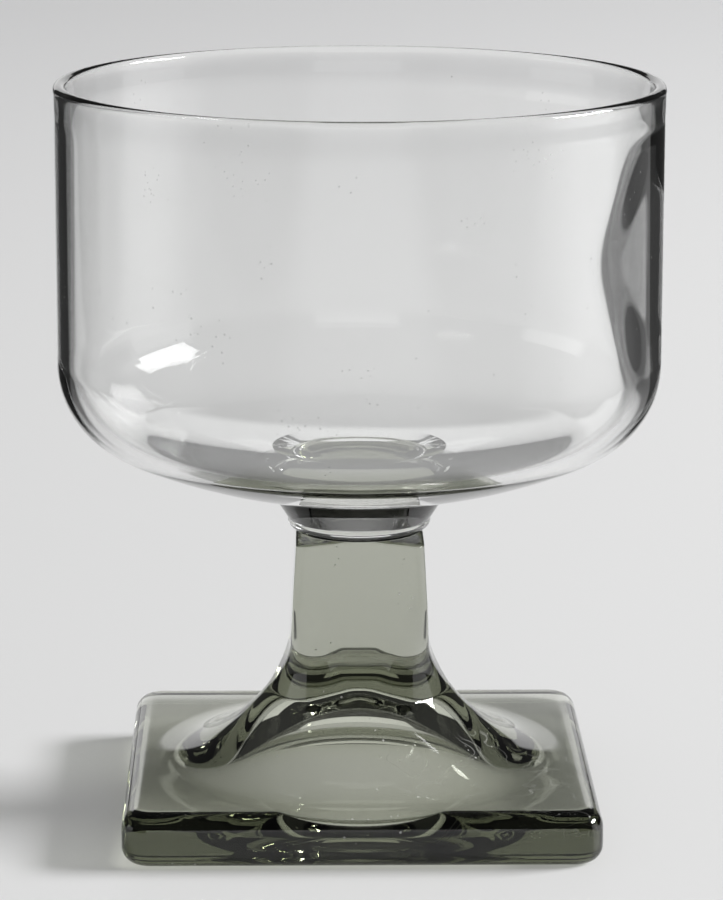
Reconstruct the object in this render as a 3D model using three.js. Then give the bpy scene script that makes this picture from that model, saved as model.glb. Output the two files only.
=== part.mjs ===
// Cocktail glass on a square foot: clear bowl, clear collar, and a smoke-grey stem and foot pressed in one.
// Millimetres, +Z up. The origin is the middle of the foot's resting face.
import * as THREE from 'three';

// Foot plate: a rounded square with soft edges
const PLATE_THICKNESS = 8.0;
const PLATE_LEDGE = 4.0; // from the foot of the flare to the middle of a plate side
const PLATE_CORNER_RADIUS = 4.3;
const PLATE_BOTTOM_EDGE_RADIUS = 2.5;
const PLATE_TOP_EDGE_RADIUS = 2.2;

// Hollow: the bell-shaped dip that the press leaves under the foot
const RESTING_RIM_WIDTH = 4.5; // flat between the hollow and the edge, at the middle of a side
const HOLLOW_HEIGHT = 16.0;

// Flare: the round trumpet between the plate and the square stem
const FLARE_RADIUS = 31.0;
const FLARE_HEIGHT = 17.7;
const FLARE_TOP_PULL = 6.0; // how far the flare follows the stem before it turns out
const FLARE_FOOT_PULL = 11.0; // how far the flare follows the plate before it turns up

// Stem: square with rounded corners, a little wider below
const STEM_HEIGHT = 16.8;
const STEM_TOP_WIDTH = 19.0;
const STEM_BASE_WIDTH = 20.9;
const STEM_CORNER_RADIUS = 1.8;
const ROUNDING_RISE = 6.5; // the corners start to grow this far above the flare's top
const ROUNDING_DROP = 7.5; // the section is a full circle this far below the flare's top
const SHOULDER_HEIGHT = 0.7; // height over which the corners are rounded off, at the stem's top

// Collar: a cone from the stem's round top to a round seat under the bowl
const COLLAR_HEIGHT = 6.2;
const COLLAR_SEAT_RADIUS = 13.5;

// Bowl: a straight thin cylinder with a rounded lower corner and a thick, slightly dished floor
const BOWL_HEIGHT = 61.3; // from the collar to the rim
const BOWL_DIAMETER = 90.0;
const BOWL_WALL = 1.7;
const BOWL_CORNER_RADIUS = 14.0;
const BOWL_UNDERSIDE_RADIUS = 90.0;
const BOWL_FLOOR_THICKNESS = 5.0; // in the middle, above the collar
const BOWL_FLOOR_RADIUS = 210.0;
const BOWL_INNER_CORNER_RADIUS = 13.0;
const RIM_BEAD_PROUD = 0.1; // how far the bead stands out of the wall, on both sides

// Heights where the pieces meet, one on top of the other
const flareTop = PLATE_THICKNESS + FLARE_HEIGHT;
const stemTop = flareTop + STEM_HEIGHT;
const collarTop = stemTop + COLLAR_HEIGHT;
const rimTop = collarTop + BOWL_HEIGHT;

// Fineness of the faceted solids
const OCTANT_STEPS = 8;
const LATHE_SEGMENTS = 72;

// Directions round the axis, closer together near the diagonals, where the square's corners are
function ringAngles() {
  const angles = [];
  for (let octant = 0; octant < 8; octant += 1) {
    for (let step = 0; step < OCTANT_STEPS; step += 1) {
      const rising = octant % 2 === 0;
      const share = (rising ? OCTANT_STEPS - step : step) / OCTANT_STEPS;
      const fromDiagonal = (Math.PI / 4) * share * share;
      const diagonal = Math.PI / 4 + Math.floor(octant / 2) * (Math.PI / 2);
      angles.push(rising ? diagonal - fromDiagonal : diagonal + fromDiagonal);
    }
  }
  return angles;
}
const ANGLES = ringAngles();

// Distance from the axis to a rounded square, in one direction
function squareReach(halfWidth, cornerRadius, angle) {
  const across = Math.max(Math.abs(Math.cos(angle)), Math.abs(Math.sin(angle)));
  const along = Math.min(Math.abs(Math.cos(angle)), Math.abs(Math.sin(angle)));
  const centre = halfWidth - cornerRadius;
  const flatReach = halfWidth / across;
  if (flatReach * along <= centre) {
    return flatReach;
  }
  const middle = centre * (across + along);
  return middle + Math.sqrt(cornerRadius ** 2 - centre ** 2 * (across - along) ** 2);
}

// One level ring of points, with its reach given for each direction
function ring(reachAt, height) {
  return ANGLES.map((angle) => {
    const reach = reachAt(angle);
    return new THREE.Vector3(reach * Math.cos(angle), reach * Math.sin(angle), height);
  });
}

// A closed body through a stack of rings, from the middle of its underside to its top face
function loft(rings) {
  const count = ANGLES.length;
  const points = rings.flat();
  const indices = [];
  for (let level = 0; level + 1 < rings.length; level += 1) {
    for (let step = 0; step < count; step += 1) {
      const next = (step + 1) % count;
      const a = level * count + step;
      const b = level * count + next;
      indices.push(a, b, b + count, a, b + count, a + count);
    }
  }
  const bottomCentre = points.length;
  points.push(new THREE.Vector3(0, 0, rings[0][0].z));
  const topCentre = points.length;
  points.push(new THREE.Vector3(0, 0, rings[rings.length - 1][0].z));
  const lastRing = (rings.length - 1) * count;
  for (let step = 0; step < count; step += 1) {
    const next = (step + 1) % count;
    indices.push(bottomCentre, next, step);
    indices.push(topCentre, lastRing + step, lastRing + next);
  }
  const geometry = new THREE.BufferGeometry().setFromPoints(points);
  geometry.setIndex(indices);
  geometry.computeVertexNormals();
  return geometry;
}

// Half width of the stem at a height
function stemHalfWidth(height) {
  const share = (height - flareTop) / STEM_HEIGHT;
  return THREE.MathUtils.lerp(STEM_BASE_WIDTH, STEM_TOP_WIDTH, share) / 2;
}

// The underside: the hollow from its crown to the resting rim
function hollowRings(radius) {
  const steps = 12;
  const rings = [];
  for (let step = 1; step <= steps; step += 1) {
    const reach = (radius * step) / steps;
    const height = HOLLOW_HEIGHT * (0.5 + 0.5 * Math.cos((Math.PI * step) / steps));
    rings.push(ring(() => reach, height));
  }
  return rings;
}

function plateRings() {
  const half = FLARE_RADIUS + PLATE_LEDGE;
  const edgeSteps = 5;
  const hollowRadius = half - PLATE_BOTTOM_EDGE_RADIUS - RESTING_RIM_WIDTH;
  const rings = hollowRings(hollowRadius);
  const inset = (amount) => (angle) => squareReach(half - amount, PLATE_CORNER_RADIUS - amount, angle);
  for (let step = 0; step <= edgeSteps; step += 1) {
    const turn = (step / edgeSteps) * (Math.PI / 2);
    const amount = PLATE_BOTTOM_EDGE_RADIUS * (1 - Math.sin(turn));
    rings.push(ring(inset(amount), PLATE_BOTTOM_EDGE_RADIUS * (1 - Math.cos(turn))));
  }
  for (let step = 0; step <= edgeSteps; step += 1) {
    const turn = (step / edgeSteps) * (Math.PI / 2);
    const amount = PLATE_TOP_EDGE_RADIUS * (1 - Math.cos(turn));
    const drop = PLATE_TOP_EDGE_RADIUS * (1 - Math.sin(turn));
    rings.push(ring(inset(amount), PLATE_THICKNESS - drop));
  }
  return rings;
}

// The flare's outline, from the plate up to the stem
function flareCurve() {
  const foot = new THREE.Vector2(FLARE_RADIUS, PLATE_THICKNESS);
  const inward = new THREE.Vector2(FLARE_RADIUS - FLARE_FOOT_PULL, PLATE_THICKNESS);
  const lean = stemHalfWidth(flareTop - FLARE_TOP_PULL);
  const below = new THREE.Vector2(lean, flareTop - FLARE_TOP_PULL);
  const top = new THREE.Vector2(stemHalfWidth(flareTop), flareTop);
  return new THREE.CubicBezierCurve(foot, inward, below, top);
}

// The stem's section: a square with small corners, which grow downwards until it is the flare's circle
// and which are rounded off quickly at the top, where the round collar sits
function sectionRing(halfWidth, height) {
  const fromStart = (flareTop + ROUNDING_RISE - height) / (ROUNDING_RISE + ROUNDING_DROP);
  const below = THREE.MathUtils.clamp(fromStart, 0, 1);
  const above = THREE.MathUtils.clamp(1 - (stemTop - height) / SHOULDER_HEIGHT, 0, 1);
  const corner = THREE.MathUtils.lerp(STEM_CORNER_RADIUS, halfWidth, Math.max(below, above));
  return ring((angle) => squareReach(halfWidth, corner, angle), height);
}

function flareRings() {
  const steps = 20;
  return flareCurve().getPoints(steps).map((point) => sectionRing(point.x, point.y));
}

function stemRings() {
  const steps = 8;
  const shoulderSteps = 5;
  const shoulder = stemTop - SHOULDER_HEIGHT;
  const heights = [];
  for (let step = 1; step <= steps; step += 1) {
    heights.push(THREE.MathUtils.lerp(flareTop, shoulder, step / steps));
  }
  for (let step = 1; step <= shoulderSteps; step += 1) {
    heights.push(THREE.MathUtils.lerp(shoulder, stemTop, step / shoulderSteps));
  }
  return heights.map((height) => sectionRing(stemHalfWidth(height), height));
}

function stemAndFootGeometry() {
  return loft([...plateRings(), ...flareRings(), ...stemRings()]);
}

function collarGeometry() {
  const bottom = ring(() => STEM_TOP_WIDTH / 2, stemTop);
  const seat = ring(() => COLLAR_SEAT_RADIUS, collarTop);
  return loft([bottom, seat]);
}

// A shell outline that runs from a shallow cap on the axis, round a corner, to an upright wall
function capAndCorner(capBottom, capRadius, cornerRadius, wallRadius, startReach, steps) {
  const capCentre = capBottom + Math.sqrt(capRadius ** 2 - startReach ** 2);
  const cornerReach = wallRadius - cornerRadius;
  const drop = Math.sqrt((capRadius - cornerRadius) ** 2 - cornerReach ** 2);
  const cornerHeight = capCentre - drop;
  const tangent = Math.acos(cornerReach / (capRadius - cornerRadius));
  const startTurn = Math.acos(startReach / capRadius);
  const points = [];
  for (let step = 0; step <= steps; step += 1) {
    const turn = THREE.MathUtils.lerp(startTurn, tangent, step / steps);
    points.push(new THREE.Vector2(capRadius * Math.cos(turn), capCentre - capRadius * Math.sin(turn)));
  }
  for (let step = 1; step <= steps; step += 1) {
    const turn = tangent * (1 - step / steps);
    const reach = cornerReach + cornerRadius * Math.cos(turn);
    points.push(new THREE.Vector2(reach, cornerHeight - cornerRadius * Math.sin(turn)));
  }
  return points;
}

// The fire-polished bead, from the outer wall over the top to the inner wall
function rimBead(outerRadius, innerRadius) {
  const steps = 8;
  const beadRadius = BOWL_WALL / 2 + RIM_BEAD_PROUD;
  const middle = (outerRadius + innerRadius) / 2;
  const centreHeight = rimTop - beadRadius;
  const dip = Math.acos(BOWL_WALL / 2 / beadRadius);
  const points = [];
  for (let step = 0; step <= steps; step += 1) {
    const turn = THREE.MathUtils.lerp(-dip, Math.PI + dip, step / steps);
    const reach = middle + beadRadius * Math.cos(turn);
    points.push(new THREE.Vector2(reach, centreHeight + beadRadius * Math.sin(turn)));
  }
  return points;
}

function bowlGeometry() {
  const arcSteps = 6;
  const outerRadius = BOWL_DIAMETER / 2;
  const innerRadius = outerRadius - BOWL_WALL;
  const floor = collarTop + BOWL_FLOOR_THICKNESS;
  const outside = capAndCorner(
    collarTop, BOWL_UNDERSIDE_RADIUS, BOWL_CORNER_RADIUS, outerRadius, COLLAR_SEAT_RADIUS, arcSteps,
  );
  const inside = capAndCorner(
    floor, BOWL_FLOOR_RADIUS, BOWL_INNER_CORNER_RADIUS, innerRadius, 0, arcSteps,
  );
  const profile = [
    new THREE.Vector2(0, collarTop),
    ...outside,
    ...rimBead(outerRadius, innerRadius),
    ...inside.reverse(),
  ];
  const geometry = new THREE.LatheGeometry(profile, LATHE_SEGMENTS);
  geometry.rotateX(Math.PI / 2);
  return geometry;
}

// Clear soda-lime glass, and the same glass with a warm smoke tint
function clearGlass() {
  return new THREE.MeshStandardMaterial({
    color: 0xe6e9e8, roughness: 0.03, metalness: 0, transparent: true, opacity: 0.35,
  });
}

function smokeGlass() {
  return new THREE.MeshStandardMaterial({
    color: 0x6e7164, roughness: 0.04, metalness: 0, transparent: true, opacity: 0.7,
  });
}

function namedMesh(name, geometry, material) {
  const mesh = new THREE.Mesh(geometry, material);
  mesh.name = name;
  return mesh;
}

const glass = new THREE.Group();
glass.add(namedMesh('stem_and_foot', stemAndFootGeometry(), smokeGlass()));
glass.add(namedMesh('collar', collarGeometry(), clearGlass()));
glass.add(namedMesh('bowl', bowlGeometry(), clearGlass()));

export default glass;
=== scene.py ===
"""A cocktail glass: clear bowl and collar on a smoke-grey square stem and foot, in a pale studio."""

import math

import bpy
from mathutils import Matrix, Vector


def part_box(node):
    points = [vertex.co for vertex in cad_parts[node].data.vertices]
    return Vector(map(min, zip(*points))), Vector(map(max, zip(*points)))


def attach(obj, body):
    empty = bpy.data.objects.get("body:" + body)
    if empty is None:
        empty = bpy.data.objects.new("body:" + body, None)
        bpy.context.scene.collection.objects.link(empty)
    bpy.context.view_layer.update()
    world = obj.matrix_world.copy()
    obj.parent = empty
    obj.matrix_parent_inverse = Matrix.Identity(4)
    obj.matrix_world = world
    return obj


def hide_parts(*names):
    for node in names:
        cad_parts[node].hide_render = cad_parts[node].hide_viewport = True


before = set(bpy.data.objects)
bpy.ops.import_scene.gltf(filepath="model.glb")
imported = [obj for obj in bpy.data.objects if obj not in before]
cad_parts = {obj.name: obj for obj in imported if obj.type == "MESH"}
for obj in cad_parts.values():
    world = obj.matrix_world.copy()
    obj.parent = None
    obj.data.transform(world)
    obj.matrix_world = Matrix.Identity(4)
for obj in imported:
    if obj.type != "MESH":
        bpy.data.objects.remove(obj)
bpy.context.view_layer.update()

MM = 0.001

# Sizes that the frame gives, in metres
foot_low, foot_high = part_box("stem_and_foot")
collar_low, collar_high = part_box("collar")
bowl_low, bowl_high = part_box("bowl")
PLATE_HALF = foot_high.x
STEM_TOP = foot_high.z
COLLAR_TOP = collar_high.z
COLLAR_SEAT_RADIUS = collar_high.x
RIM_TOP = bowl_high.z
RIM_OUTER_RADIUS = bowl_high.y

# Foot plate
PLATE_THICKNESS = 8.0 * MM
PLATE_CORNER_RADIUS = 4.3 * MM
PLATE_BOTTOM_EDGE_RADIUS = 2.5 * MM
PLATE_TOP_EDGE_RADIUS = 2.8 * MM

# Hollow under the foot
HOLLOW_RADIUS = 28.0 * MM
HOLLOW_HEIGHT = 16.0 * MM

# Flare
FLARE_RADIUS = 31.0 * MM
FLARE_HEIGHT = 17.7 * MM
FLARE_TOP = PLATE_THICKNESS + FLARE_HEIGHT
FLARE_TOP_PULL = 6.0 * MM
FLARE_FOOT_PULL = 11.0 * MM

# Stem
STEM_TOP_WIDTH = 19.0 * MM
STEM_BASE_WIDTH = 20.9 * MM
STEM_CORNER_RADIUS = 1.8 * MM
ROUNDING_RISE = 6.5 * MM
ROUNDING_DROP = 7.5 * MM
SHOULDER_HEIGHT = 0.7 * MM

# Collar: the roll of glass where it is fused to the stem
JOINT_ROLL = 0.45 * MM
JOINT_ROLL_SHARE = 0.3

# Bowl
RIM_BEAD_PROUD = 0.1 * MM
BOWL_RADIUS = RIM_OUTER_RADIUS - RIM_BEAD_PROUD
BOWL_WALL = 1.7 * MM
RIM_BEAD_RADIUS = BOWL_WALL / 2 + RIM_BEAD_PROUD
RIM_BLEND = 5.0 * MM
WALL_WAVE = 0.6 * MM  # the blown wall is thicker at the right, and the patch bulges forward at one height
WALL_WAVE_START = math.radians(-36.0)
WALL_WAVE_RISE = math.radians(16.0)
WALL_WAVE_END = math.radians(40.0)
WALL_WAVE_FALL = math.radians(60.0)
WALL_WAVE_BULGE = math.radians(9.0)
WALL_WAVE_HEIGHT = 87.0 * MM
WALL_WAVE_SPREAD = 9.0 * MM
WALL_WAVE_FOOT = 62.0 * MM
WALL_WAVE_TOP = 108.0 * MM
WALL_WAVE_FADE = 14.0 * MM
BOWL_CORNER_RADIUS = 14.0 * MM
BOWL_UNDERSIDE_RADIUS = 90.0 * MM
BOWL_FLOOR_THICKNESS = 5.0 * MM
BOWL_FLOOR_RADIUS = 210.0 * MM
BOWL_INNER_CORNER_RADIUS = 13.0 * MM

# The fused faces stand this far apart, so that light crosses them one at a time
FUSED_GAP = 0.01 * MM

# Fineness of the meshes
OCTANT_STEPS = 28
OCTANT_CROWDING = 1.7  # how much closer together the directions are near a diagonal
STEM_CROWDING = 0.7  # how much closer together the rings are near the stem's top
RESTING_SHARES = (0.05, 0.5, 0.95)  # where the rings lie on the flat resting face
LATHE_SEGMENTS = 288
WALL_STEPS = 40
ARC_STEPS = 40


def lerp(a, b, share):
    return a + (b - a) * share


def clamp(share):
    return min(max(share, 0.0), 1.0)


def smooth(share):
    t = clamp(share)
    return t * t * (3 - 2 * t)


def ring_angles():
    """Directions round the axis, closer together near the diagonals, where the corners are."""
    angles = []
    for octant in range(8):
        rising = octant % 2 == 0
        diagonal = math.pi / 4 + (octant // 2) * (math.pi / 2)
        for step in range(OCTANT_STEPS):
            share = (OCTANT_STEPS - step if rising else step) / OCTANT_STEPS
            offset = (math.pi / 4) * share**OCTANT_CROWDING
            angles.append(diagonal - offset if rising else diagonal + offset)
    return angles


ANGLES = ring_angles()


def square_reach(half, corner, angle):
    """Distance from the axis to a rounded square, in one direction."""
    across = max(abs(math.cos(angle)), abs(math.sin(angle)))
    along = min(abs(math.cos(angle)), abs(math.sin(angle)))
    centre = half - corner
    flat_reach = half / across
    if flat_reach * along <= centre:
        return flat_reach
    return centre * (across + along) + math.sqrt(corner**2 - (centre * (across - along))**2)


def ring(reach_at, height_at):
    points = []
    for angle in ANGLES:
        reach = reach_at(angle)
        points.append((reach * math.cos(angle), reach * math.sin(angle), height_at(reach)))
    return points


def level_ring(half, corner, height):
    return ring(lambda angle: square_reach(half, corner, angle), lambda reach: height)


def mark_fused(mesh, fused):
    """Marks the faces that are melted to the next piece and keeps their edges crisp."""
    joint = mesh.attributes.new("joint", "FLOAT", "FACE")
    crisp = set()
    for index in fused:
        joint.data[index].value = 1.0
        crisp.update(mesh.polygons[index].edge_keys)
    for edge in mesh.edges:
        edge.use_edge_sharp = edge.key in crisp


def loft(name, rings, fused_bottom=False, fused_top=False):
    """A closed mesh through a stack of rings. Fused ends are marked and get a crisp edge."""
    count = len(ANGLES)
    points = [point for one in rings for point in one]
    faces = []
    for level in range(len(rings) - 1):
        for step in range(count):
            a = level * count + step
            b = level * count + (step + 1) % count
            faces.append((a, b, b + count, a + count))
    side_count = len(faces)
    faces.append(tuple(reversed(range(count))))
    last = (len(rings) - 1) * count
    faces.append(tuple(range(last, last + count)))
    mesh = bpy.data.meshes.new(name)
    mesh.from_pydata(points, [], faces)
    mesh.shade_smooth()
    ends = ((side_count, fused_bottom), (side_count + 1, fused_top))
    mark_fused(mesh, [index for index, fused in ends if fused])
    piece = bpy.data.objects.new(name, mesh)
    bpy.context.scene.collection.objects.link(piece)
    return piece


def stem_half_width(height):
    share = (height - FLARE_TOP) / (STEM_TOP - FLARE_TOP)
    return lerp(STEM_BASE_WIDTH, STEM_TOP_WIDTH, share) / 2


def section_ring(half, height):
    """A level ring: a square whose corners grow round towards the flare, and quickly at the very top."""
    below = clamp((FLARE_TOP + ROUNDING_RISE - height) / (ROUNDING_RISE + ROUNDING_DROP))
    above = clamp(1 - (STEM_TOP - height) / SHOULDER_HEIGHT)
    corner = lerp(STEM_CORNER_RADIUS, half, max(below, above))
    return level_ring(half, corner, height)


def bezier(points, share):
    a, b, c, d = points
    rest = 1 - share
    return a * rest**3 + b * (3 * rest**2 * share) + c * (3 * rest * share**2) + d * share**3


def hollow_height(reach):
    """A bell: level at its crown and where it meets the resting face."""
    return HOLLOW_HEIGHT * (0.5 + 0.5 * math.cos(math.pi * reach / HOLLOW_RADIUS))


def plate_rings():
    hollow_steps, edge_steps, top_steps = 48, 10, 12

    def inset(amount, angle):
        return square_reach(PLATE_HALF - amount, PLATE_CORNER_RADIUS - amount, angle)

    rings = []
    for step in range(1, hollow_steps + 1):
        reach = HOLLOW_RADIUS * step / hollow_steps
        height = hollow_height(reach)
        rings.append(ring(lambda angle: reach, lambda reach: height))
    for share in RESTING_SHARES:
        rings.append(ring(
            lambda angle: lerp(HOLLOW_RADIUS, inset(PLATE_BOTTOM_EDGE_RADIUS, angle), share),
            lambda reach: 0.0,
        ))
    for step in range(edge_steps + 1):
        turn = step / edge_steps * math.pi / 2
        amount = PLATE_BOTTOM_EDGE_RADIUS * (1 - math.sin(turn))
        height = PLATE_BOTTOM_EDGE_RADIUS * (1 - math.cos(turn))
        rings.append(ring(lambda angle: inset(amount, angle), lambda reach: height))
    for step in range(edge_steps + 1):
        turn = step / edge_steps * math.pi / 2
        amount = PLATE_TOP_EDGE_RADIUS * (1 - math.cos(turn))
        drop = PLATE_TOP_EDGE_RADIUS * (1 - math.sin(turn))
        rings.append(ring(lambda angle: inset(amount, angle), lambda reach: PLATE_THICKNESS - drop))
    for step in range(1, top_steps):
        share = step / top_steps
        rings.append(ring(
            lambda angle: lerp(inset(PLATE_TOP_EDGE_RADIUS, angle), FLARE_RADIUS, share),
            lambda reach: PLATE_THICKNESS,
        ))
    return rings


def flare_rings():
    steps = 110
    foot = Vector((FLARE_RADIUS, PLATE_THICKNESS))
    along = Vector((-FLARE_FOOT_PULL, 0.0))
    below = Vector((stem_half_width(FLARE_TOP - FLARE_TOP_PULL), FLARE_TOP - FLARE_TOP_PULL))
    top = Vector((stem_half_width(FLARE_TOP), FLARE_TOP))
    rings = []
    for step in range(steps):
        point = bezier((foot, foot + along, below, top), step / steps)
        rings.append(section_ring(point.x, point.y))
    return rings


def stem_rings():
    steps = 60
    rings = []
    for step in range(steps + 1):
        height = lerp(FLARE_TOP, STEM_TOP - FUSED_GAP, (step / steps)**STEM_CROWDING)
        rings.append(section_ring(stem_half_width(height), height))
    return rings


def make_stem_and_foot():
    return loft("stem_and_foot_glass", plate_rings() + flare_rings() + stem_rings(), fused_top=True)


def make_collar():
    steps = 40
    rings = []
    for step in range(steps + 1):
        share = step / steps
        roll = math.sin(math.pi * min(share / JOINT_ROLL_SHARE, 1.0))
        half = lerp(STEM_TOP_WIDTH / 2, COLLAR_SEAT_RADIUS, share) + JOINT_ROLL * roll
        height = lerp(STEM_TOP + FUSED_GAP, COLLAR_TOP - FUSED_GAP, share)
        rings.append(level_ring(half, half, height))
    return loft("collar_glass", rings, fused_bottom=True, fused_top=True)


def cap_and_corner(cap_bottom, cap_radius, corner_radius, wall_radius, start_reach, steps):
    """A shell outline from a shallow cap round a corner to an upright wall."""
    cap_centre = cap_bottom + math.sqrt(cap_radius**2 - start_reach**2)
    corner_reach = wall_radius - corner_radius
    corner_height = cap_centre - math.sqrt((cap_radius - corner_radius)**2 - corner_reach**2)
    tangent = math.acos(corner_reach / (cap_radius - corner_radius))
    start_turn = math.acos(start_reach / cap_radius)
    points = []
    for step in range(steps + 1):
        turn = lerp(start_turn, tangent, step / steps)
        points.append((cap_radius * math.cos(turn), cap_centre - cap_radius * math.sin(turn)))
    for step in range(1, steps + 1):
        turn = tangent * (1 - step / steps)
        points.append((
            corner_reach + corner_radius * math.cos(turn),
            corner_height - corner_radius * math.sin(turn),
        ))
    return points


def rim_bead(inner_radius):
    """The polished rim, from the outer wall over the top to the inner wall, swelling slowly."""
    steps, blend_steps = 24, 8
    middle = (BOWL_RADIUS + inner_radius) / 2
    centre_height = RIM_TOP - RIM_BEAD_RADIUS
    outer, inner = [], []
    for step in range(blend_steps):
        share = step / blend_steps
        half = BOWL_WALL / 2 + RIM_BEAD_PROUD * smooth(share)
        height = centre_height - RIM_BLEND * (1 - share)
        outer.append((middle + half, height))
        inner.append((middle - half, height))
    top = []
    for step in range(steps + 1):
        turn = math.pi * step / steps
        top.append((
            middle + RIM_BEAD_RADIUS * math.cos(turn),
            centre_height + RIM_BEAD_RADIUS * math.sin(turn),
        ))
    return outer + top + inner[::-1]


def between(first, last, steps):
    """Points part of the way from one profile point to another, without the two ends."""
    return [
        (lerp(first[0], last[0], step / steps), lerp(first[1], last[1], step / steps))
        for step in range(1, steps)
    ]


def wall_wave(angle, height):
    """How much thicker the wall is at a place, on its inner side."""
    turn = math.remainder(angle, 2 * math.pi)
    bulge = WALL_WAVE_BULGE * math.exp(-((height - WALL_WAVE_HEIGHT) / WALL_WAVE_SPREAD)**2)
    front = smooth((turn - WALL_WAVE_START + bulge) / WALL_WAVE_RISE)
    back = 1 - smooth((turn - WALL_WAVE_END) / WALL_WAVE_FALL)
    low = smooth((height - WALL_WAVE_FOOT) / WALL_WAVE_FADE)
    high = smooth((WALL_WAVE_TOP - height) / WALL_WAVE_FADE)
    return WALL_WAVE * front * back * low * high


def lathe(name, profile, inner_start):
    """A closed turned mesh. The profile starts and ends on the axis; its first stretch is the fused seat."""
    rings = profile[1:-1]
    points = []
    for level, (reach, height) in enumerate(rings):
        inner = level >= inner_start
        for segment in range(LATHE_SEGMENTS):
            angle = 2 * math.pi * segment / LATHE_SEGMENTS
            here = reach - wall_wave(angle, height) if inner else reach
            points.append((here * math.cos(angle), here * math.sin(angle), height))
    count = LATHE_SEGMENTS
    faces = []
    for level in range(len(rings) - 1):
        for segment in range(count):
            a = level * count + segment
            b = level * count + (segment + 1) % count
            faces.append((a, b, b + count, a + count))
    seat = len(faces)
    faces.append(tuple(reversed(range(count))))
    last = (len(rings) - 1) * count
    tip = len(points)
    points.append((0.0, 0.0, profile[-1][1]))
    for segment in range(count):
        faces.append((last + segment, last + (segment + 1) % count, tip))
    mesh = bpy.data.meshes.new(name)
    mesh.from_pydata(points, [], faces)
    mesh.shade_smooth()
    mark_fused(mesh, [seat])
    piece = bpy.data.objects.new(name, mesh)
    bpy.context.scene.collection.objects.link(piece)
    return piece


def make_bowl():
    inner_radius = BOWL_RADIUS - BOWL_WALL
    floor_height = COLLAR_TOP + BOWL_FLOOR_THICKNESS
    outside = cap_and_corner(
        COLLAR_TOP, BOWL_UNDERSIDE_RADIUS, BOWL_CORNER_RADIUS, BOWL_RADIUS, COLLAR_SEAT_RADIUS, ARC_STEPS,
    )
    inside = cap_and_corner(
        floor_height, BOWL_FLOOR_RADIUS, BOWL_INNER_CORNER_RADIUS, inner_radius, 0.0, ARC_STEPS,
    )
    inside.reverse()
    bead = rim_bead(inner_radius)
    profile = [(0.0, COLLAR_TOP)]
    profile += outside + between(outside[-1], bead[0], WALL_STEPS) + bead
    inner_start = len(profile) - 1
    profile += between(bead[-1], inside[0], WALL_STEPS) + inside
    return lathe("bowl_glass", profile, inner_start)


# Materials

SMOKE_ABSORPTION_DENSITY = 100.0
SMOKE_ABSORPTION_COLOUR = (0.655, 0.669, 0.600, 1.0)
GLASS_IOR = 1.5
GLASS_HAZE = 0.03
CLEAR_TINT = ((0.980, 0.982, 0.980, 1.0), (0.970, 0.974, 0.970, 1.0))
SMOKE_TINT = ((0.990, 0.990, 0.980, 1.0), (0.975, 0.978, 0.960, 1.0))
MARK_COLOUR = (0.72, 0.72, 0.69, 1.0)
HAZE_START = 0.55
HAZE_BLEND = 0.25

# Marks in the surface: scale of each pattern, per metre, and where its mask begins and blends
SPECK_SCALE, SPECK_SIZE, SPECK_BLEND = 700.0, 0.10, 0.05
SPECK_PATCH_SCALE, SPECK_PATCH_START, SPECK_PATCH_BLEND = 95.0, 0.60, 0.06
HAIR_SCALE, HAIR_WIDTH, HAIR_BLEND = 160.0, 0.002, 0.004
HAIR_PATCH_SCALE, HAIR_PATCH_START, HAIR_PATCH_BLEND = 45.0, 0.56, 0.10
RIPPLE_SCALE = 60.0

# How strongly specks and hairlines show, and how deep the ripples are
CLEAR_DUST, CLEAR_HAIRS, CLEAR_RIPPLE = 0.25, 0.02, 0.010 * MM
SMOKE_DUST, SMOKE_HAIRS, SMOKE_RIPPLE = 0.5, 0.2, 0.020 * MM

# What a lamp's light keeps at each surface it crosses on its way to the floor: level faces, then upright ones
LEVEL_START = 0.45  # a face counts as level where its normal leans little from straight up
LEVEL_BLEND = 0.45
NO_TINT = (1.0, 1.0, 1.0, 1.0)
CLEAR_SHADOW = ((0.97, 0.97, 0.97, 1.0), (0.95, 0.95, 0.95, 1.0))
SMOKE_SHADOW = ((0.95, 0.95, 0.93, 1.0), (0.28, 0.29, 0.27, 1.0))


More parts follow.
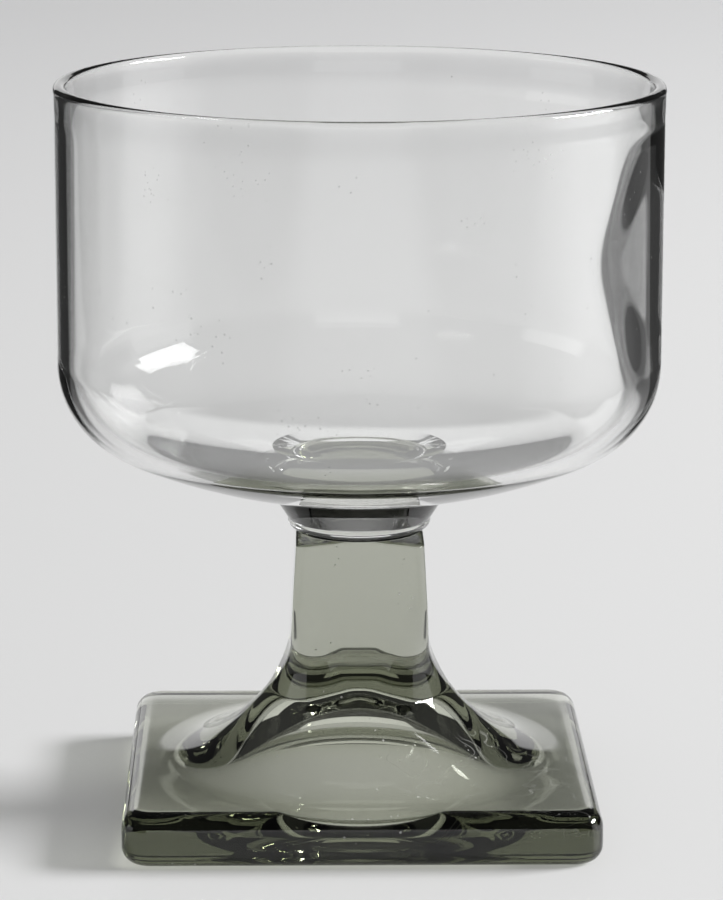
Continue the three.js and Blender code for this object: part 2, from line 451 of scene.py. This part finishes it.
class Graph:
    """Short ways to add nodes to a node tree."""

    def __init__(self, tree):
        self.nodes = tree.nodes
        self.links = tree.links

    def put(self, socket, value):
        if isinstance(value, bpy.types.NodeSocket):
            self.links.new(value, socket)
        else:
            socket.default_value = value

    def math(self, operation, *values):
        node = self.nodes.new("ShaderNodeMath")
        node.operation = operation
        for socket, value in zip(node.inputs, values):
            self.put(socket, value)
        return node.outputs[0]

    def step(self, value, start, blend, low=0.0, high=1.0):
        node = self.nodes.new("ShaderNodeMapRange")
        node.interpolation_type = "SMOOTHSTEP"
        limits = {"From Min": start, "From Max": start + blend, "To Min": low, "To Max": high}
        for name, number in limits.items():
            node.inputs[name].default_value = number
        self.put(node.inputs["Value"], value)
        return node.outputs[0]

    def mix_colour(self, share, first, second):
        node = self.nodes.new("ShaderNodeMix")
        node.data_type = "RGBA"
        self.put(node.inputs["Factor"], share)
        colours = [socket for socket in node.inputs if socket.type == "RGBA"]
        self.put(colours[0], first)
        self.put(colours[1], second)
        return [socket for socket in node.outputs if socket.type == "RGBA"][0]

    def place(self, kind):
        node = self.nodes.new("ShaderNodeTexCoord")
        split = self.nodes.new("ShaderNodeSeparateXYZ")
        self.links.new(node.outputs[kind], split.inputs[0])
        return split.outputs["X"], split.outputs["Y"], split.outputs["Z"]

    def texture(self, kind, output, place, **settings):
        node = self.nodes.new(kind)
        self.links.new(place, node.inputs["Vector"])
        for name, value in settings.items():
            node.inputs[name.replace("_", " ").title()].default_value = value
        return node.outputs[output]

    def object_place(self):
        return self.nodes.new("ShaderNodeTexCoord").outputs["Object"]

    def mix_shader(self, share, first, second):
        node = self.nodes.new("ShaderNodeMixShader")
        self.put(node.inputs[0], share)
        self.put(node.inputs[1], first)
        self.put(node.inputs[2], second)
        return node.outputs[0]

    def seen_in_glass(self):
        path = self.nodes.new("ShaderNodeLightPath")
        return self.math("MAXIMUM", path.outputs["Is Glossy Ray"], path.outputs["Is Transmission Ray"])


def surface_marks(graph, dusty, hairy):
    """Masks for dust and hairline wrinkles, and the height of the slow ripples in the surface."""
    place = graph.object_place()
    speck = graph.texture("ShaderNodeTexVoronoi", "Distance", place, scale=SPECK_SCALE)
    speck = graph.step(speck, SPECK_SIZE, SPECK_BLEND, 1.0, 0.0)
    chance = graph.texture("ShaderNodeTexNoise", "Fac", place, scale=SPECK_PATCH_SCALE, detail=2.0)
    chance = graph.step(chance, SPECK_PATCH_START, SPECK_PATCH_BLEND)
    dust = graph.math("MULTIPLY", speck, chance)
    line = graph.texture("ShaderNodeTexNoise", "Fac", place, scale=HAIR_SCALE, detail=1.0)
    line = graph.math("ABSOLUTE", graph.math("SUBTRACT", line, 0.5))
    line = graph.step(line, HAIR_WIDTH, HAIR_BLEND, 1.0, 0.0)
    patch = graph.texture("ShaderNodeTexNoise", "Fac", place, scale=HAIR_PATCH_SCALE, detail=2.0)
    patch = graph.step(patch, HAIR_PATCH_START, HAIR_PATCH_BLEND)
    hair = graph.math("MULTIPLY", line, patch)
    marks = graph.math("MAXIMUM", graph.math("MULTIPLY", dust, dusty), graph.math("MULTIPLY", hair, hairy))
    ripple = graph.texture("ShaderNodeTexNoise", "Fac", place, scale=RIPPLE_SCALE, detail=1.0)
    return marks, ripple


def glass_material(name, shadow, tint, dusty, hairy, ripple_depth, smoke=False):
    material = bpy.data.materials.new(name)
    material.use_nodes = True
    graph = Graph(material.node_tree)
    nodes = graph.nodes
    principled = nodes["Principled BSDF"]
    principled.inputs["IOR"].default_value = GLASS_IOR
    principled.inputs["Transmission Weight"].default_value = 1.0
    marks, ripple = surface_marks(graph, dusty, hairy)
    graph.put(principled.inputs["Base Color"], graph.mix_colour(ripple, tint[0], tint[1]))
    graph.put(principled.inputs["Roughness"], graph.step(ripple, HAZE_START, HAZE_BLEND, 0.0, GLASS_HAZE))
    bump = nodes.new("ShaderNodeBump")
    bump.inputs["Distance"].default_value = ripple_depth
    graph.put(bump.inputs["Height"], ripple)
    graph.put(principled.inputs["Normal"], bump.outputs["Normal"])
    grain = nodes.new("ShaderNodeBsdfDiffuse")
    grain.inputs["Color"].default_value = MARK_COLOUR
    surface = graph.mix_shader(marks, principled.outputs[0], grain.outputs[0])
    path = nodes.new("ShaderNodeLightPath")
    joint = nodes.new("ShaderNodeAttribute")
    joint.attribute_name = "joint"
    unbent = graph.math("MAXIMUM", path.outputs["Is Diffuse Ray"], joint.outputs["Fac"])
    through = graph.math("MAXIMUM", path.outputs["Is Shadow Ray"], unbent)
    facing = nodes.new("ShaderNodeSeparateXYZ")
    graph.put(facing.inputs[0], nodes.new("ShaderNodeNewGeometry").outputs["Normal"])
    level = graph.step(graph.math("ABSOLUTE", facing.outputs["Z"]), LEVEL_START, LEVEL_BLEND)
    cast = graph.mix_colour(level, shadow[1], shadow[0])
    clear = nodes.new("ShaderNodeBsdfTransparent")
    seen_through = graph.mix_colour(path.outputs["Is Shadow Ray"], NO_TINT, cast)
    graph.put(clear.inputs["Color"], seen_through)
    output = nodes["Material Output"]
    graph.put(output.inputs["Surface"], graph.mix_shader(through, surface, clear.outputs[0]))
    if smoke:
        absorption = nodes.new("ShaderNodeVolumeAbsorption")
        absorption.inputs["Color"].default_value = SMOKE_ABSORPTION_COLOUR
        absorption.inputs["Density"].default_value = SMOKE_ABSORPTION_DENSITY
        graph.put(output.inputs["Volume"], absorption.outputs[0])
    return material


clear_glass = glass_material(
    "clear_glass", CLEAR_SHADOW, CLEAR_TINT, CLEAR_DUST, CLEAR_HAIRS, CLEAR_RIPPLE,
)
smoke_glass = glass_material(
    "smoke_glass", SMOKE_SHADOW, SMOKE_TINT, SMOKE_DUST, SMOKE_HAIRS, SMOKE_RIPPLE, smoke=True,
)

bowl = make_bowl()
collar = make_collar()
stem = make_stem_and_foot()
for piece, material, node, slot in (
    (bowl, clear_glass, "bowl", "clear_glass"),
    (collar, clear_glass, "collar", "clear_glass"),
    (stem, smoke_glass, "stem_and_foot", "smoke_glass"),
):
    piece.data.materials.append(material)
    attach(piece, "root")
    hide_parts(node)


# Camera, as the photograph was taken

CAMERA_FOCAL_PIXELS = 4131.0
CAMERA_PLACE = Vector((-1.36, -605.0, 186.8)) * MM
CAMERA_PITCH = math.radians(12.34)
CAMERA_PAN = math.radians(0.16)
CAMERA_ROLL = math.radians(0.08)
FOOT_TURN = math.radians(0.87)
IMAGE_HEIGHT = 900
SENSOR = 36.0


def make_camera():
    data = bpy.data.cameras.new("camera")
    data.sensor_width = SENSOR
    data.lens = CAMERA_FOCAL_PIXELS * SENSOR / IMAGE_HEIGHT
    data.clip_start = 0.01
    data.clip_end = 100.0
    camera = bpy.data.objects.new("camera", data)
    bpy.context.scene.collection.objects.link(camera)
    ahead = Vector((
        math.sin(CAMERA_PAN) * math.cos(CAMERA_PITCH),
        math.cos(CAMERA_PAN) * math.cos(CAMERA_PITCH),
        -math.sin(CAMERA_PITCH),
    ))
    level = Vector((math.cos(CAMERA_PAN), -math.sin(CAMERA_PAN), 0.0))
    over = level.cross(ahead)
    right = level * math.cos(CAMERA_ROLL) + over * math.sin(CAMERA_ROLL)
    up = over * math.cos(CAMERA_ROLL) - level * math.sin(CAMERA_ROLL)
    turned = Matrix((right, up, -ahead)).transposed().to_4x4()
    camera.matrix_world = (
        Matrix.Rotation(-FOOT_TURN, 4, "Z") @ Matrix.Translation(CAMERA_PLACE) @ turned
    )
    bpy.context.scene.camera = camera


make_camera()

# Studio

FLOOR_RADIUS = 12.0
FLOOR_DROP = 0.02 * MM
# Painted shade: the floor's colour darkens from FLOOR_NEAR to FLOOR_FAR further from the glass, where the
# light falls off
FLOOR_NEAR = (0.76, 0.76, 0.76, 1.0)
FLOOR_FAR = (0.72, 0.72, 0.725, 1.0)
FLOOR_FADE_START = 0.25
FLOOR_FADE_END = 1.3
FLOOR_ROUGHNESS = 0.5
FLOOR_SPECULAR = 0.2
SHEET_NEAR = 0.045  # glass sees the pale floor as four widening sheets, with painted dark shade between them
SHEET_SPREAD = 0.225
SHEET_MIDDLE = 0.05
SHEET_EDGE_BLEND = 0.02
SHEET_SOFT_BLEND = 0.12
SIDE_SHEET_PAINTED_SHADE = 0.3  # how far the sheets at the two sides turn to the painted mid-grey shade
# Painted shade on the floor that only glass sees, dark and mid-grey: it gives the glass its dark edges and
# bands
GLASS_SEEN_DARK_SHADE = (0.03, 0.03, 0.03, 1.0)
GLASS_SEEN_MID_SHADE = (0.35, 0.35, 0.35, 1.0)


def make_floor():
    mesh = bpy.data.meshes.new("floor")
    steps = 96
    turns = [2 * math.pi * step / steps for step in range(steps)]
    points = [(FLOOR_RADIUS * math.cos(turn), FLOOR_RADIUS * math.sin(turn), 0.0) for turn in turns]
    mesh.from_pydata(points, [], [tuple(range(steps))])
    floor = bpy.data.objects.new("floor", mesh)
    floor.location.z = -FLOOR_DROP
    bpy.context.scene.collection.objects.link(floor)
    material = bpy.data.materials.new("pale_floor")
    material.use_nodes = True
    graph = Graph(material.node_tree)
    x, y, z = graph.place("Object")
    across, along = graph.math("ABSOLUTE", x), graph.math("ABSOLUTE", y)
    reach = graph.math("SQRT", graph.math("ADD", graph.math("POWER", x, 2.0), graph.math("POWER", y, 2.0)))
    # painted shade: the floor turns darker further from the glass
    far = graph.step(reach, FLOOR_FADE_START, FLOOR_FADE_END - FLOOR_FADE_START)
    pale = graph.mix_colour(far, FLOOR_NEAR, FLOOR_FAR)
    out = graph.math("MAXIMUM", across, along)
    edge = graph.math("MULTIPLY_ADD", out, SHEET_SPREAD, SHEET_NEAR)
    past_edge = graph.math("SUBTRACT", graph.math("MINIMUM", across, along), edge)
    off_middle = graph.step(out, SHEET_MIDDLE, SHEET_EDGE_BLEND)
    # Painted shade seen only in the glass: dark and mid-grey between the pale sheets, and the side sheets
    # dulled towards mid-grey
    in_glass = graph.math("MULTIPLY", off_middle, graph.seen_in_glass())
    off_sheets = graph.math("MULTIPLY", graph.step(past_edge, 0.0, SHEET_SOFT_BLEND), in_glass)
    behind = graph.step(graph.math("SUBTRACT", y, across), 0.0, SHEET_EDGE_BLEND)
    off_back_sheet = graph.math("MULTIPLY", graph.step(past_edge, 0.0, SHEET_EDGE_BLEND), in_glass)
    beside = graph.step(graph.math("SUBTRACT", across, along), 0.0, SHEET_SOFT_BLEND, 0.0, SIDE_SHEET_PAINTED_SHADE)
    off_sheets = graph.math("MAXIMUM", off_sheets, graph.math("MULTIPLY", beside, in_glass))
    shade = graph.mix_colour(off_sheets, pale, GLASS_SEEN_MID_SHADE)
    shade = graph.mix_colour(graph.math("MULTIPLY", off_back_sheet, behind), shade, GLASS_SEEN_DARK_SHADE)
    principled = material.node_tree.nodes["Principled BSDF"]
    graph.put(principled.inputs["Base Color"], shade)
    principled.inputs["Roughness"].default_value = FLOOR_ROUGHNESS
    principled.inputs["Specular IOR Level"].default_value = FLOOR_SPECULAR
    mesh.materials.append(material)


make_floor()


def area_light(name, place, target, width, height, power):
    data = bpy.data.lights.new(name, "AREA")
    data.shape = "RECTANGLE"
    data.size = width
    data.size_y = height
    data.energy = power
    light = bpy.data.objects.new(name, data)
    light.location = place
    direction = Vector(target) - Vector(place)
    light.rotation_euler = direction.to_track_quat("-Z", "Y").to_euler()
    bpy.context.scene.collection.objects.link(light)
    return light


KEY_DISTANCE = 2.6
KEY_AZIMUTH = math.radians(6.0)
KEY_HEIGHT = math.radians(27.0)
KEY_WIDTH = 1.25
KEY_TALL = 0.55
KEY_POWER = 98.0
KEY_TARGET = (0.0, 0.0, 0.04)


def toward(distance, azimuth, height):
    """A place seen from the glass at an azimuth from +X towards +Y and at a height, both as angles."""
    return Vector((
        distance * math.cos(height) * math.cos(azimuth),
        distance * math.cos(height) * math.sin(azimuth),
        distance * math.sin(height),
    ))


area_light(
    "key", toward(KEY_DISTANCE, KEY_AZIMUTH, KEY_HEIGHT), KEY_TARGET, KEY_WIDTH, KEY_TALL, KEY_POWER,
)

ROOM_FILL = 0.38  # even light for matt surfaces
PAPER_GLOW = 1.05  # what glass sees of the pale paper that hangs on four sides
ROOM_DARK = 0.05  # what glass sees between the papers and overhead
PAPER_EDGE = 0.95  # cosine of half the width of a paper, as an angle
PAPER_EDGE_BLEND = 0.01
PAPER_TOP = 0.26  # sine of the height where the papers end
PAPER_TOP_BLEND = 0.03


def make_world():
    world = bpy.data.worlds.new("studio")
    world.use_nodes = True
    graph = Graph(world.node_tree)
    x, y, z = graph.place("Generated")
    across, along = graph.math("ABSOLUTE", x), graph.math("ABSOLUTE", y)
    reach = graph.math("SQRT", graph.math("ADD", graph.math("POWER", x, 2.0), graph.math("POWER", y, 2.0)))
    reach = graph.math("MAXIMUM", reach, 0.001)
    facing = graph.math("DIVIDE", graph.math("MAXIMUM", across, along), reach)
    on_paper = graph.step(facing, PAPER_EDGE, PAPER_EDGE_BLEND)
    below_top = graph.step(z, PAPER_TOP, PAPER_TOP_BLEND, 1.0, 0.0)
    paper = graph.math("MULTIPLY", on_paper, below_top)
    room = graph.math("MULTIPLY_ADD", paper, PAPER_GLOW - ROOM_DARK, ROOM_DARK)
    seen = graph.seen_in_glass()
    fill = graph.math("MULTIPLY", graph.math("SUBTRACT", 1.0, seen), ROOM_FILL)
    light = graph.math("MULTIPLY_ADD", room, seen, fill)
    graph.put(world.node_tree.nodes["Background"].inputs["Color"], light)
    bpy.context.scene.world = world


make_world()

# Light crosses many glass faces before it reaches the floor or the papers
LIGHT_BOUNCES = 32

scene = bpy.context.scene
scene.view_settings.view_transform = "Standard"
scene.cycles.max_bounces = LIGHT_BOUNCES
scene.cycles.caustics_refractive = False
scene.cycles.caustics_reflective = False
scene.cycles.transmission_bounces = LIGHT_BOUNCES
scene.cycles.transparent_max_bounces = LIGHT_BOUNCES
